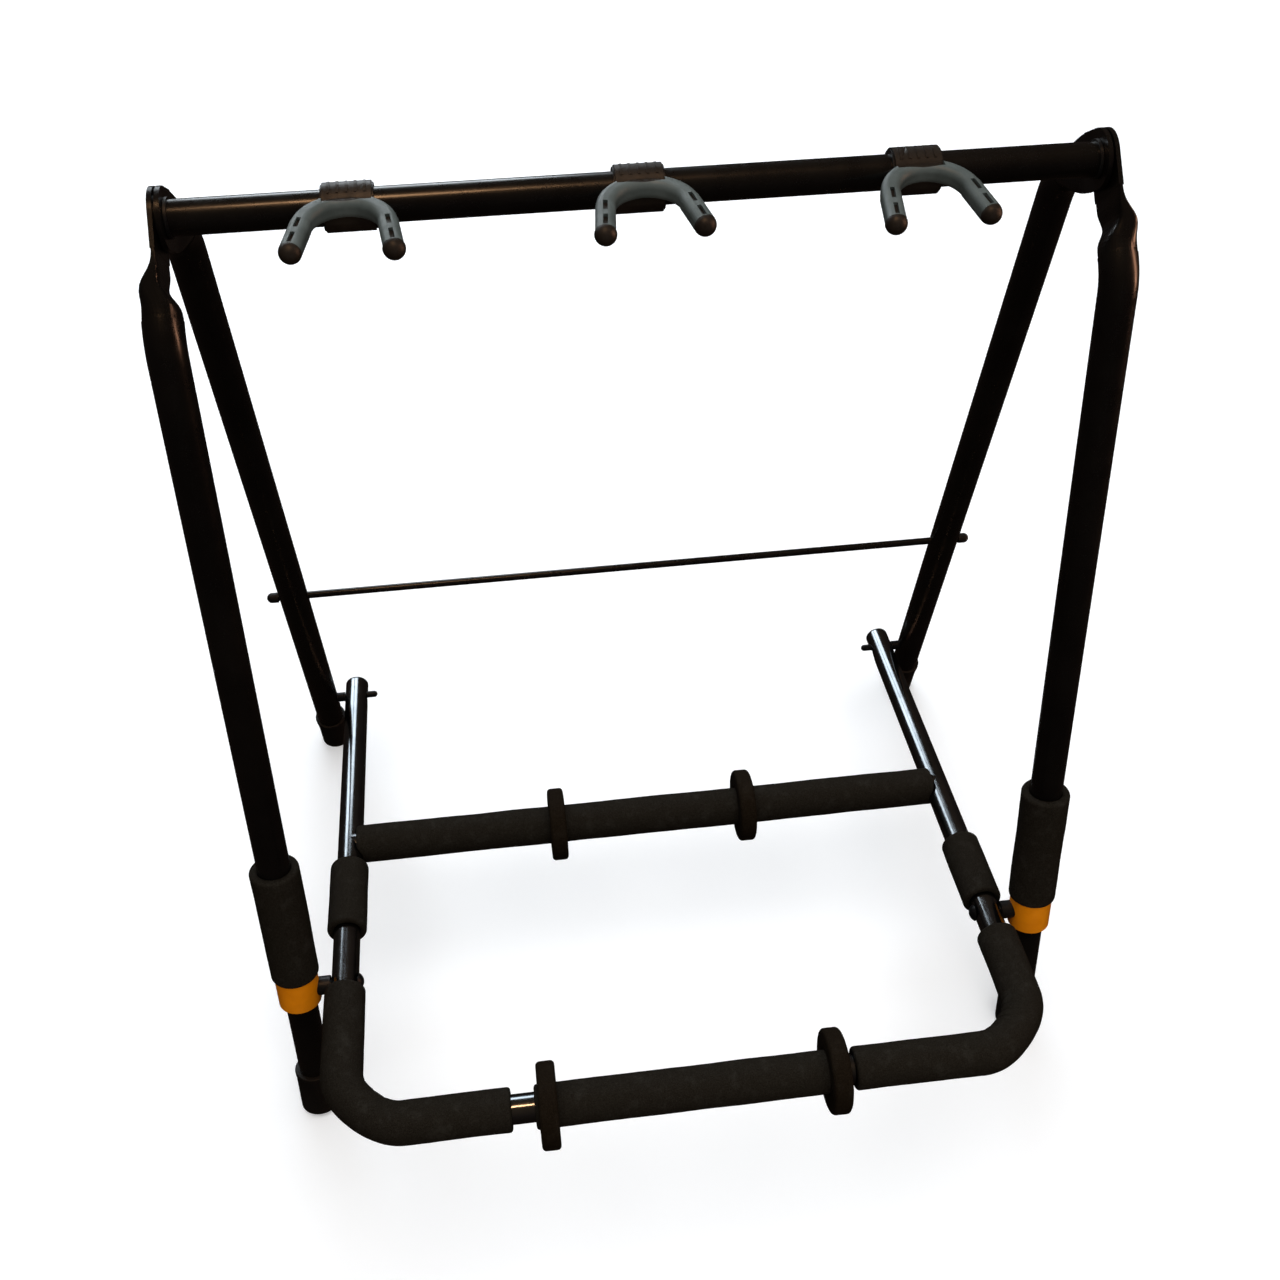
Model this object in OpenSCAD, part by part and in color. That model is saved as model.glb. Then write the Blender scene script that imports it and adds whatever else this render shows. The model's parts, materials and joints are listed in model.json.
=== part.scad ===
// Folding three-place guitar rack.
// A front frame and a rear frame are hinged together along the top tube. A padded base frame turns on
// bolts in the front legs and rests on pins in the rear legs. Three yokes on the top tube hold the necks.
// Frame of the model: +X to the right, +Y to the back, +Z up, millimetres. The origin is on the floor,
// under the middle of the whole rack.

/* [Overall] */
// Height of the top tube's axis above the floor
ridge_h = 705; // [700:1:710]
// How far the front feet stand ahead of the top tube
front_reach = 250.2; // [249:0.1:252]
// How far the rear feet stand behind the top tube
rear_reach = 146.9; // [146:0.1:148]

/* [Legs] */
// Outside diameter of a leg tube
leg_d = 25.4; // [25:0.1:25.6]
// Wall thickness of every tube
tube_wall = 1.5; // [1.2:0.1:1.8]
// Distance of a front leg's axis from the middle, at the floor
front_foot_x = 309; // [308.5:0.5:309.5]
// Distance of a front leg's axis from the middle, at its bend
front_knee_x = 302; // [301.5:0.5:302.5]
// Distance of a rear leg's axis from the middle
rear_leg_x = 301.5; // [301.5:0.5:303]
// How far ahead of the top tube's axis a front leg bends
front_knee_out = 58.7; // [57:0.1:60]
// How far below the top tube's axis a front leg bends
front_knee_drop = 49; // [47:0.5:51]
// How far behind the top tube's axis a rear leg bends
rear_knee_out = 60; // [58:0.1:62]
// How far below the top tube's axis a rear leg bends
rear_knee_drop = 47; // [45:0.5:49]
// Radius of the bend at a leg's knee, on its axis
knee_r = 42; // [38:1:46]
// Length over which a leg's round tube is pressed flat
press_len = 40; // [38:1:42]
// How far a front leg's pressed length bulges outwards, half way along
front_press_bulge = 4; // [0:0.5:4.5]
// Width of a leg's flattened end
blade_w = 38.4; // [37:0.1:39]
// Thickness of a leg's flattened end
blade_t = 3; // [2.8:0.1:3.2]

/* [Tubes] */
// Outside diameter of the top tube and of the base frame's tubes
tube_d = 22.2; // [22:0.1:22.4]
// Distance from the middle to each end of the top tube
top_half = 292; // [291:0.5:292.5]
// Distance of a base side tube's axis from the middle
side_x = 270; // [269.5:0.5:270.5]
// How far ahead of the top tube the base frame's front bar runs
front_bar_out = 345.4; // [344:0.1:347]
// Height of the front bar's axis
front_bar_h = 149.5; // [148.5:0.1:150.5]
// Slope of the base frame, rising to the front
base_slope = 8.85; // [8.6:0.05:9.1]
// Radius of the base frame's front corners, on the axis
corner_r = 48; // [46:1:50]
// Length of the base frame, from the front bar's axis to the rear ends
base_len = 503; // [501:0.5:506]
// Distance from the front bar's axis to the cross tube's axis
cross_back = 285.5; // [284:0.5:287]

/* [Rod and pins] */
// Diameter of the cross rod between the rear legs
rod_d = 6.4; // [6:0.1:6.8]
// Height of the cross rod
rod_h = 248.8; // [246:0.1:252]
// Distance from the middle to each end of the cross rod
rod_half = 319; // [318:1:322]
// Diameter of the pins that the base frame rests on
rest_pin_d = 6.4; // [6:0.1:6.6]
// Diameter of the hinge bolts
bolt_d = 8; // [7.8:0.1:8.2]

/* [Foam] */
// Length of the foam grips on the front legs
grip_len = 111; // [108:1:114]
// Outside diameter of the foam on the base frame
pad_d = 33; // [32.6:0.1:33.4]
// Outside diameter of the foam on the cross tube
rear_pad_d = 33.4; // [33:0.1:34]
// Outside diameter of the foam grips on the front legs
grip_d = 38.2; // [37.6:0.1:38.2]
// Outside diameter of a divider disc
divider_d = 65; // [62:0.5:66]
// Thickness of a divider disc
divider_t = 14.5; // [14:0.5:16]

/* [Bands] */
// Outside diameter of the coloured band on a front leg
band_d = 34.4; // [34:0.1:34.6]
// Where the band starts, along the leg from the floor
band_from = 122.5; // [122:0.5:123]
// Where the band ends, along the leg from the floor
band_to = 151.5; // [151:0.5:152]
// How much lower the right band and grip sit than the left ones
right_band_drop = 2.9; // [0:0.1:3]

/* [Yokes] */
// Place of the left yoke along the top tube
left_yoke_x = -184; // [-190:0.5:-180]
// Place of the middle yoke along the top tube
middle_yoke_x = -4.5; // [-10:0.5:10]
// Place of the right yoke along the top tube
right_yoke_x = 172.5; // [168:0.5:190]
// Length of a yoke's collar
collar_len = 30; // [29:0.5:31]
// Outside diameter of a yoke's collar
collar_d = 30; // [29.6:0.1:31]
// Radius of the yoke's bend, on the fork's axis
fork_r = 26.4; // [26:0.1:27]
// Angle by which each prong opens outwards
prong_splay = 9; // [8:0.5:10]
// Length of a prong's straight part, up to its tip
prong_len = 27; // [26.5:0.5:28]
// Height of the fork's axis above the top tube's axis
fork_lift = 7.5; // [7:0.5:8]
// Angle by which the left fork sits askew on its collar
left_fork_skew = -2.5; // [-3:0.5:3]
// Angle by which the middle fork sits askew on its collar
middle_fork_skew = 3; // [-3:0.5:4]
// Angle by which the right fork sits askew on its collar
right_fork_skew = 3.5; // [-3:0.5:4]
// Angle by which the right yoke is turned down from level
right_yoke_dip = 5; // [0:0.5:6]

/* [Hidden] */
$fn = 96;
sides = ["left", "right"];
yoke_names = ["left", "middle", "right"];
divider_names = ["front_left", "front_right", "rear_left", "rear_right"];

// Clearances: between parts of one body, round a turning bolt, and between separate bodies
fit = 0.05;
turn_gap = 0.08;
air = 0.3;

leg_r = leg_d / 2;
tube_r = tube_d / 2;
bolt_r = bolt_d / 2;
front_lean = atan((front_reach - front_knee_out) / (ridge_h - front_knee_drop));
rear_lean = atan((rear_reach - rear_knee_out) / (ridge_h - rear_knee_drop));

// A front leg splays towards its foot
front_rise = (ridge_h - front_knee_drop) / cos(front_lean);
front_splay = atan((front_foot_x - front_knee_x) / front_rise);

// Rubber feet: outside diameters at the rim and at the bottom, and heights along the leg
foot_d = 33;
foot_h = 42;
rear_foot_d = 30;
rear_foot_low_d = 26;
rear_foot_h = 42;
foot_round = 12;
foot_sink = 4;
foot_rim = 4;

// The whole rack is centred front to back between its front dividers and its rear feet
ridge_y = (front_bar_out + divider_d / 2 - rear_reach - rear_foot_d / 2 / cos(rear_lean)) / 2;

// Stack of parts on each end of the top tube, outwards
flange_t = 2;
rear_blade_x = top_half + flange_t + air + blade_t / 2;
washer_from = rear_blade_x + blade_t / 2 + air;
washer_t = 1.2;
washer_r = 14;
bolt_head_r = 8;
bolt_head_h = 2.5;
front_blade_x = washer_from + washer_t + blade_t / 2;

// Where a leg's axis meets the base frame's axis, as a distance behind the front bar
function meet(lean, reach) = (reach + front_bar_out - tan(lean) * front_bar_h)
    / (cos(base_slope) - tan(lean) * sin(base_slope));
hinge_back = meet(-front_lean, -front_reach);
rest_back = meet(rear_lean, rear_reach);
spacer_r = 7.6;
hinge_h = front_bar_h - hinge_back * sin(base_slope);
hinge_x = front_foot_x - (front_foot_x - front_knee_x) * hinge_h / (ridge_h - front_knee_drop);
rod_y = ridge_y + rear_reach - rod_h * tan(rear_lean);

// Foam on the base frame: distances behind the front bar for the side pieces, X for the front ones
side_pad_from = [187, 146];
side_pad_to = [259, 213];
corner_pad_back = [126.5, 110];
corner_pad_x = [141.5, 121];
front_pad_x = [-124, 112];
divider_x = [-114, 106.5, -83.6, 87.7];
divider_back = [0, 0, cross_back, cross_back];
rear_pad_lap = 6.6;

// Yoke section
fork_w = 12.6;
fork_h = 13.4;
fork_corner = 5;
core_w = 8.2;
core_h = 9.2;
core_corner = 2.6;
fork_y = -(fork_r + 11);
tip_d = 14;
tip_lap = 0.6;
slot_along = [-20, -4.3];
slot_len = 10.6;
slot_w = 2.8;
bend_step = 0.3;
bend_lap = 2;
yoke_x = [left_yoke_x, middle_yoke_x, right_yoke_x];
yoke_dip = [0, 0, right_yoke_dip];
fork_skew = [left_fork_skew, middle_fork_skew, right_fork_skew];

// Bush between the top tube and a collar: its outside, its flanges and the collar's bore
liner_r = 12.6;
collar_bore_r = liner_r + 0.05;
liner_flange_r = 13.8;
liner_flange_t = 0.8;

// ---- placing ----

// +1 on the right, -1 on the left
function sign_of(side) = side == 0 ? -1 : 1;

// Origin at a front leg's foot, +Z up along the leg
module on_front_leg(side)
    mirror([side == 0 ? 1 : 0, 0, 0]) translate([front_foot_x, ridge_y - front_reach, 0])
        rotate([-front_lean, 0, 0]) rotate([0, -front_splay, 0]) children();

// Origin at a rear leg's foot, +Z up along the leg
module on_rear_leg(side)
    translate([sign_of(side) * rear_leg_x, ridge_y + rear_reach, 0]) rotate([rear_lean, 0, 0]) children();

// Origin on the front bar's axis, +Y back along the base frame
module on_base()
    translate([0, ridge_y - front_bar_out, front_bar_h]) rotate([-base_slope, 0, 0]) children();

// Origin on the top tube's axis
module on_ridge() translate([0, ridge_y, ridge_h]) children();

// A cylinder along +X from x = a to x = b, mirrored for the left side
module x_rod(side, a, b, r)
    mirror([side == 0 ? 1 : 0, 0, 0]) translate([a, 0, 0]) rotate([0, 90, 0]) cylinder(r = r, h = b - a);

// A ring along its own +Z
module ring(r_out, r_in, h)
    difference() {
        cylinder(r = r_out, h = h);
        translate([0, 0, -1]) cylinder(r = r_in, h = h + 2);
    }

// ---- legs ----

// A leg is a round tube that bends at the knee. Beyond the bend it is pressed flat over press_len. aim is
// the blade's angle above the horizontal.
function unit(a) = [cos(a), sin(a)];
function knee_tangent(turn) = knee_r * tan(turn / 2);

// Superellipse power, which squares the section as it flattens. The pressed length laps into the bend and
// the blade by press_lap, and is smaller than them by press_skin at the bend and less at the blade.
function power(v, e) = sign(v) * pow(abs(v), e);
function ease(t) = t * t * (3 - 2 * t);
press_rings = 14;
press_sides = 40;
press_lap = 1;
press_skin = 0.3;
function press_ring(k, aim, from, x_from, x_to, bulge) =
    let (s = -press_lap + k / press_rings * (press_len + 2 * press_lap),
         e = ease(max(0, min(1, s / press_len))),
         p = (from + s) * unit(aim), side = unit(aim - 90),
         skin = press_skin * (1 - 0.6 * e),
         w = leg_r + (blade_w / 2 - leg_r) * e - skin,
         h = leg_r + (blade_t / 2 - leg_r) * e - skin,
         n = 2 / (2 + 5 * e),
         x = x_from + (x_to - x_from) * e + bulge * pow(sin(180 * e), 2))
    [for (i = [0:press_sides - 1])
        let (q = 360 * i / press_sides, u = w * power(cos(q), n), v = h * power(sin(q), n))
        [x + v, p[0] + side[0] * u, p[1] + side[1] * u]];

// Round tube pressed into a flat strip, in a frame with its origin at the knee, starting at distance from
module pressed_knee(aim, from, x_from, x_to, bulge) {
    last = press_rings * press_sides;
    points = [for (k = [0:press_rings]) each press_ring(k, aim, from, x_from, x_to, bulge)];
    walls = [for (k = [0:press_rings - 1], i = [0:press_sides - 1])
        let (j = (i + 1) % press_sides, a = k * press_sides)
        each [[a + i, a + j, a + press_sides + j], [a + i, a + press_sides + j, a + press_sides + i]]];
    polyhedron(points, concat([[for (i = [press_sides - 1:-1:0]) i]],
        walls, [[for (i = [0:press_sides - 1]) last + i]]));
}

// A leg without its cross holes: round tube, bend, pressed length and flat blade. It leans towards +Y as
// drawn, and the rear legs are its mirror image. The x values are distances from the middle.
module plain_leg(lean, knee_out, knee_drop, x_foot, x_knee, x_blade, bulge) {
    rise = (ridge_h - knee_drop) / cos(lean);
    splay = atan((x_foot - x_knee) / rise);
    aim = atan(knee_drop / knee_out);
    turn = 90 - lean - aim;
    tangent = knee_tangent(turn);
    straight = norm([rise, x_foot - x_knee]) - tangent;
    x_bend = x_foot - (straight + knee_r * sin(turn)) * sin(splay);
    blade_len = norm([knee_out, knee_drop]) - tangent - press_len;
    translate([x_foot, -knee_out - (ridge_h - knee_drop) * tan(lean), 0])
        rotate([-lean, 0, 0]) rotate([0, -splay, 0]) {
            difference() {
                translate([0, 0, 8]) cylinder(r = leg_r, h = straight - 8);
                translate([0, 0, 7]) cylinder(r = leg_r - tube_wall, h = straight - 9);
            }
            translate([0, knee_r, straight]) rotate([90, 0, -90]) rotate_extrude(angle = turn)
                translate([knee_r, 0]) circle(r = leg_r);
        }
    translate([0, -knee_out, ridge_h - knee_drop])
        pressed_knee(aim, tangent, x_bend, x_blade, bulge);
    translate([x_blade - blade_t / 2, 0, ridge_h]) rotate([aim, 0, 0]) {
        rotate([0, 90, 0]) cylinder(r = blade_w / 2, h = blade_t);
        translate([0, -blade_len, -blade_w / 2]) cube([blade_t, blade_len, blade_w]);
    }
}

module front_leg(side)
    color("#14110f") difference() {
        translate([0, ridge_y, 0]) mirror([side == 0 ? 1 : 0, 0, 0])
            plain_leg(front_lean, front_knee_out, front_knee_drop,
                front_foot_x, front_knee_x, front_blade_x, front_press_bulge);
        on_ridge() x_rod(side, front_blade_x - 10, front_blade_x + 10, bolt_r + fit);
        on_base() translate([0, hinge_back, 0]) x_rod(side, hinge_x - 20, hinge_x, bolt_r + fit);
    }

module rear_leg(side)
    color("#14110f") difference() {
        translate([0, ridge_y, 0]) mirror([side == 0 ? 1 : 0, 0, 0]) mirror([0, 1, 0])
            plain_leg(rear_lean, rear_knee_out, rear_knee_drop, rear_leg_x, rear_leg_x, rear_blade_x, 0);
        on_ridge() x_rod(side, rear_blade_x - 10, rear_blade_x + 10, bolt_r + turn_gap);
        translate([0, rod_y, rod_h]) x_rod(side, rear_leg_x - 20, rear_leg_x + 20, rod_d / 2 + fit);
        on_base() translate([0, rest_back, 0])
            x_rod(side, rear_leg_x - 20, rear_leg_x, rest_pin_d / 2 + fit);
    }

// Rubber cap on a leg's end: a rim at the top, tapering sides and a rounded bottom, before the floor
// cuts it flat. d is its diameter at the rim and low_d at the bottom.
module foot_cap(d, low_d, h)
    rotate_extrude() difference() {
        union() {
            polygon([[0, 0], [low_d / 2, 0], [low_d / 2, foot_sink], [d / 2 - 0.4, h - foot_rim],
                [0, h - foot_rim]]);
            translate([0, h - foot_rim]) square([d / 2, foot_rim - 1]);
            square([d / 2 - 1, h]);
            translate([d / 2 - 1, h - 1]) circle(r = 1);
            translate([0, -foot_sink]) square([low_d / 2 - foot_round, foot_sink]);
            intersection() {
                translate([low_d / 2 - foot_round, foot_round - foot_sink]) circle(r = foot_round);
                translate([0, -foot_sink]) square([d, foot_round]);
            }
        }
        translate([0, 2 * foot_sink]) square([leg_r + fit, h]);
        translate([-d, -d]) square([d, 3 * d]);
    }

module front_foot(side)
    color("#0d0d0d") intersection() {
        on_front_leg(side) foot_cap(foot_d, foot_d, foot_h);
        translate([-500, -500, 0]) cube([1000, 1000, 200]);
    }

module rear_foot(side)
    color("#0d0d0d") intersection() {
        on_rear_leg(side) foot_cap(rear_foot_d, rear_foot_low_d, rear_foot_h);
        translate([-500, -500, 0]) cube([1000, 1000, 200]);
    }

module leg_grip(side)
    color("#1a1816") on_front_leg(side)
        translate([0, 0, band_to - side * right_band_drop + fit]) ring(grip_d / 2, leg_r + fit, grip_len);

module band(side)
    color("#d98a12") difference() {
        on_front_leg(side) translate([0, 0, band_from - side * right_band_drop])
            ring(band_d / 2, leg_r + fit, band_to - band_from);
        on_base() translate([0, hinge_back, 0]) x_rod(side, hinge_x - 20, hinge_x, bolt_r + fit);
    }

// ---- top tube and its hinge ----

module top_tube()
    color("#17120f") on_ridge() difference() {
        translate([-top_half, 0, 0]) x_rod(1, 0, 2 * top_half, tube_r);
        translate([-top_half, 0, 0]) x_rod(1, -1, 2 * top_half + 1, tube_r - tube_wall);
    }

// Plug in the tube's end, with a flange that the rear leg turns against
module end_plug(side)
    color("#0f0f0f") on_ridge() difference() {
        union() {
            x_rod(side, top_half - 30, top_half, tube_r - tube_wall - fit);
            x_rod(side, top_half, top_half + flange_t, tube_r + 1.5);
        }
        x_rod(side, top_half - 31, top_half + flange_t + 1, bolt_r + fit);
    }

// Bolt with a low rounded head, through both legs into the plug
module ridge_bolt(side)
    color("#202020") on_ridge() {
        head_x = front_blade_x + blade_t / 2;
        x_rod(side, top_half - 26, head_x, bolt_r);
        mirror([side == 0 ? 1 : 0, 0, 0]) translate([head_x, 0, 0]) rotate([0, 90, 0])
            low_head(bolt_head_r, bolt_head_h);
    }

// Rounded bolt head of radius r and height h
module low_head(r, h)
    rotate_extrude() intersection() {
        translate([0, h - (r * r + h * h) / 2 / h]) circle(r = (r * r + h * h) / 2 / h);
        square([r, h]);
    }

module ridge_washers()
    color("#0f0f0f") on_ridge() for (side = [0, 1]) difference() {
        x_rod(side, washer_from, washer_from + washer_t, washer_r);
        x_rod(side, washer_from - 1, washer_from + washer_t + 1, bolt_r + fit);
    }

// ---- rear frame ----

module cross_rod()
    color("#181410") translate([-rod_half, rod_y, rod_h]) x_rod(1, 0, 2 * rod_half, rod_d / 2);

// Push-on cap with a rounded end, clear of the leg's outside
cap_r = 4.6;
cap_from = rear_leg_x + leg_r + 1;
module rod_cap(side)
    color("#0d0d0d") translate([0, rod_y, rod_h]) mirror([side == 0 ? 1 : 0, 0, 0])
        translate([cap_from, 0, 0]) rotate([0, 90, 0]) difference() {
            union() {
                cylinder(r = cap_r, h = rod_half - cap_from + 1.5);
                translate([0, 0, rod_half - cap_from + 1.5]) sphere(r = cap_r);
            }
            translate([0, 0, -1]) cylinder(r = rod_d / 2 + fit, h = rod_half - cap_from + 1 + fit);
        }

// Pin that the base frame hooks over: it is fixed in the leg's inner wall and ends in a dome
rest_pin_end = 252.5;
module rest_pin(side)
    color("#1c1c1c") on_base() translate([0, rest_back, 0]) {
        x_rod(side, rest_pin_end, rear_leg_x - leg_r + tube_wall + 3, rest_pin_d / 2);
        translate([sign_of(side) * rest_pin_end, 0, 0]) sphere(r = rest_pin_d / 2);
        difference() {
            x_rod(side, side_x + tube_r + air, rear_leg_x - 6, rest_pin_d / 2 + 1.4);
            x_rod(side, side_x, rear_leg_x, rest_pin_d / 2 - 0.5);
            translate([sign_of(side) * rear_leg_x, 0, 0]) rotate([base_slope + rear_lean, 0, 0])
                translate([0, 0, -40]) cylinder(r = leg_r + fit, h = 80);
        }
    }

// ---- base frame ----

// The bent tube's outline at radius r, as one solid
module bent_tube(r, over) {
    for (side = [0, 1]) mirror([side == 0 ? 1 : 0, 0, 0]) {
        translate([side_x, corner_r, 0]) rotate([-90, 0, 0]) cylinder(r = r, h = base_len - corner_r + over);
        translate([side_x - corner_r, corner_r, 0]) rotate([0, 0, -90]) rotate_extrude(angle = 90)
            translate([corner_r, 0]) circle(r = r);
    }
    translate([corner_r - side_x, 0, 0]) rotate([0, 90, 0]) cylinder(r = r, h = 2 * (side_x - corner_r));
}

// Notch under each rear end: closed behind the pin, open below and ahead of it
notch_r = rest_pin_d / 2 + 0.5;
notch_angle = 17;
notch_deep = 14;
module rest_notch()
    translate([-350, rest_back, 0]) {
        edge = notch_r - 0.1;
        top = [-edge * sin(notch_angle), edge * cos(notch_angle)];
        x_rod(1, 0, 700, notch_r);
        rotate([90, 0, 90]) linear_extrude(700) polygon([[edge, 0], [edge, -notch_deep],
            [top[0] - (notch_deep + top[1]) / tan(notch_angle), -notch_deep], top]);
    }

module base_tube()
    color("#16181c") on_base() difference() {
        bent_tube(tube_r, 0);
        bent_tube(tube_r - tube_wall, 1);
        for (side = [0, 1]) translate([0, hinge_back, 0])
            x_rod(side, side_x - 20, side_x + 20, bolt_r + turn_gap);
        rest_notch();
    }

module cross_tube()
    color("#16181c") on_base() difference() {
        translate([-side_x, cross_back, 0]) x_rod(1, 0, 2 * side_x, tube_r);
        translate([-side_x, cross_back, 0]) x_rod(1, -1, 2 * side_x + 1, tube_r - tube_wall);
        for (x = [-side_x, side_x]) translate([x, cross_back - 40, 0]) rotate([-90, 0, 0])
            cylinder(r = tube_r + fit, h = 80);
    }

// Plug in a side tube's rear end
module tube_plug(side)
    color("#0f0f0f") on_base() translate([sign_of(side) * side_x, base_len, 0]) rotate([-90, 0, 0]) {
        translate([0, 0, -8]) cylinder(r = tube_r - tube_wall - fit, h = 8);
        cylinder(r = tube_r, h = 1.5);
    }

// Bolt that the base frame turns on, with its head inside the frame
module base_bolt(side)
    color("#202020") on_base() translate([0, hinge_back, 0]) {
        x_rod(side, side_x - tube_r - air, hinge_x - leg_r + tube_wall + 5, bolt_r);
        mirror([side == 0 ? 1 : 0, 0, 0]) translate([side_x - tube_r - air, 0, 0]) rotate([0, -90, 0])
            low_head(7, 4);
    }

// Spacer between the side tube and the leg's band
module base_spacer(side)
    color("#0f0f0f") on_base() translate([0, hinge_back, 0]) difference() {
        x_rod(side, side_x + tube_r + air, hinge_x, spacer_r);
        x_rod(side, side_x, hinge_x + 1, bolt_r + fit);
        translate([sign_of(side) * hinge_x, 0, 0]) rotate([base_slope - front_lean, 0, 0])
            rotate([0, -sign_of(side) * front_splay, 0])
                translate([0, 0, -60]) cylinder(r = band_d / 2 + fit, h = 120);
    }

// ---- foam ----

module side_pad(side)
    color("#1a1816") on_base() translate([sign_of(side) * side_x, side_pad_from[side], 0])
        rotate([-90, 0, 0]) ring(pad_d / 2, tube_r + fit, side_pad_to[side] - side_pad_from[side]);

// The corner foam's outline at radius r, as one solid
module corner_run(side, r)
    mirror([side == 0 ? 1 : 0, 0, 0]) {
        translate([side_x, corner_r, 0]) rotate([-90, 0, 0])
            cylinder(r = r, h = corner_pad_back[side] - corner_r);
        translate([side_x - corner_r, corner_r, 0]) rotate([0, 0, -90]) rotate_extrude(angle = 90)
            translate([corner_r, 0]) circle(r = r);
        translate([corner_pad_x[side], 0, 0]) rotate([0, 90, 0])
            cylinder(r = r, h = side_x - corner_r - corner_pad_x[side]);
    }

module corner_pad(side)
    color("#1a1816") on_base() difference() {
        corner_run(side, pad_d / 2);
        bent_tube(tube_r + fit, 0);
    }

module front_pad()
    color("#1a1816") on_base() translate([front_pad_x[0], 0, 0]) rotate([0, 90, 0])
        ring(pad_d / 2, tube_r + fit, front_pad_x[1] - front_pad_x[0]);

// The rear foam runs up against the side tubes, which are cut out of its ends
module rear_pad()
    color("#1a1816") on_base() difference() {
        half = side_x - rear_pad_lap;
        translate([-half, cross_back, 0]) rotate([0, 90, 0]) ring(rear_pad_d / 2, tube_r + fit, 2 * half);
        for (x = [-side_x, side_x]) translate([x, cross_back - 40, 0]) rotate([-90, 0, 0])
            cylinder(r = tube_r + fit, h = 80);
    }

// Disc with rounded edges that rides on the foam
module divider(i) {
    inner_r = (i < 2 ? pad_d : rear_pad_d) / 2 + air;
    edge = 3;
    color("#171412") on_base() translate([divider_x[i], divider_back[i], 0]) rotate([0, 90, 0])
        rotate_extrude() difference() {
            union() {
                translate([0, -divider_t / 2]) square([divider_d / 2 - edge, divider_t]);
                translate([0, edge - divider_t / 2]) square([divider_d / 2, divider_t - 2 * edge]);
                for (z = [-1, 1]) translate([divider_d / 2 - edge, z * (divider_t / 2 - edge)])
                    circle(r = edge);
            }
            translate([-1, -divider_t]) square([inner_r + 1, 2 * divider_t]);
        }
}

// ---- yokes ----

// Flanged bush between the top tube and a collar
module yoke_liner(i)
    color("#222222") on_ridge() translate([yoke_x[i], 0, 0]) difference() {
        half = collar_len / 2 + air;
        union() {
            translate([-half - liner_flange_t, 0, 0]) x_rod(1, 0, 2 * (half + liner_flange_t), liner_r);
            for (x = [-half - liner_flange_t, half]) translate([x, 0, 0])
                x_rod(1, 0, liner_flange_t, liner_flange_r);
        }
        translate([-30, 0, 0]) x_rod(1, 0, 60, tube_r + turn_gap);
    }

// Rounded section of the fork
module fork_section(w, h, r) {
    square([w - 2 * r, h], center = true);
    square([w, h - 2 * r], center = true);
    for (x = [-1, 1], y = [-1, 1]) translate([x * (w / 2 - r), y * (h / 2 - r)]) circle(r = r);
}

// The fork's own frame: its origin at the centre of the bend, askew on the collar
module on_fork(i) rotate([0, 0, fork_skew[i]]) translate([0, fork_y, fork_lift]) children();

// A yoke's frame: its origin on the top tube's axis, +Z up before the yoke is turned down
module on_yoke(i) on_ridge() translate([yoke_x[i], 0, 0]) rotate([yoke_dip[i], 0, 0]) children();

// Each prong's frame: its origin at the end of the bend, with the prong running to -Y
module on_prongs()
    for (s = [-1, 1]) mirror([s < 0 ? 1 : 0, 0, 0]) rotate([0, 0, prong_splay])
        translate([fork_r, 0, 0]) children();

// A horseshoe of the given section, with prongs of the given length. The bend is thinner than the prongs
// by bend_step all round and laps into them by the angle bend_lap.
module horseshoe(i, w, h, r, len)
    on_fork(i) {
        rotate([0, 0, prong_splay - bend_lap]) rotate_extrude(angle = 180 - 2 * prong_splay + 2 * bend_lap)
            translate([fork_r, 0]) fork_section(w - 2 * bend_step, h - 2 * bend_step, r - bend_step);
        on_prongs() rotate([90, 0, 0]) linear_extrude(len) fork_section(w, h, r);
    }

// Blunt tip on each prong
module fork_tips(i)
    on_fork(i) on_prongs() translate([0, tip_lap - prong_len, 0]) rotate([90, 0, 0])
        rotate_extrude() intersection() {
            circle(r = tip_d / 2);
            square(tip_d);
        }

// Space kept free round the top tube and the liner's flanges
module tube_room() {
    half = collar_len / 2 + air + liner_flange_t + air;
    translate([-60, 0, 0]) x_rod(1, 0, 120, tube_r + 1);
    translate([-half, 0, 0]) x_rod(1, 0, 2 * half, liner_flange_r + air);
}

// Collar, fork core and tips, moulded in one piece
module yoke_fork(i)
    color("#1d1916") on_yoke(i) {
        difference() {
            union() {
                translate([-collar_len / 2, 0, 0]) x_rod(1, 0, collar_len, collar_d / 2);
                translate([-collar_len / 2, -collar_d / 2, -3]) cube([collar_len, 6, 3 + fork_lift]);
                for (k = [-2:2]) translate([k * 5.5 - 0.8, 0, 0]) collar_rib();
                difference() {
                    horseshoe(i, core_w, core_h, core_corner, prong_len);
                    tube_room();
                }
            }
            translate([-30, 0, 0]) x_rod(1, 0, 60, collar_bore_r);
        }
        fork_tips(i);
    }

// Low rib over the top of a collar
module collar_rib()
    rotate([90, 0, 90]) linear_extrude(1.6) intersection() {
        circle(r = collar_d / 2 + 0.6);
        rotate([0, 0, 70]) square([30, 30]);
        rotate([0, 0, 25]) square([30, 30]);
    }

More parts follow.
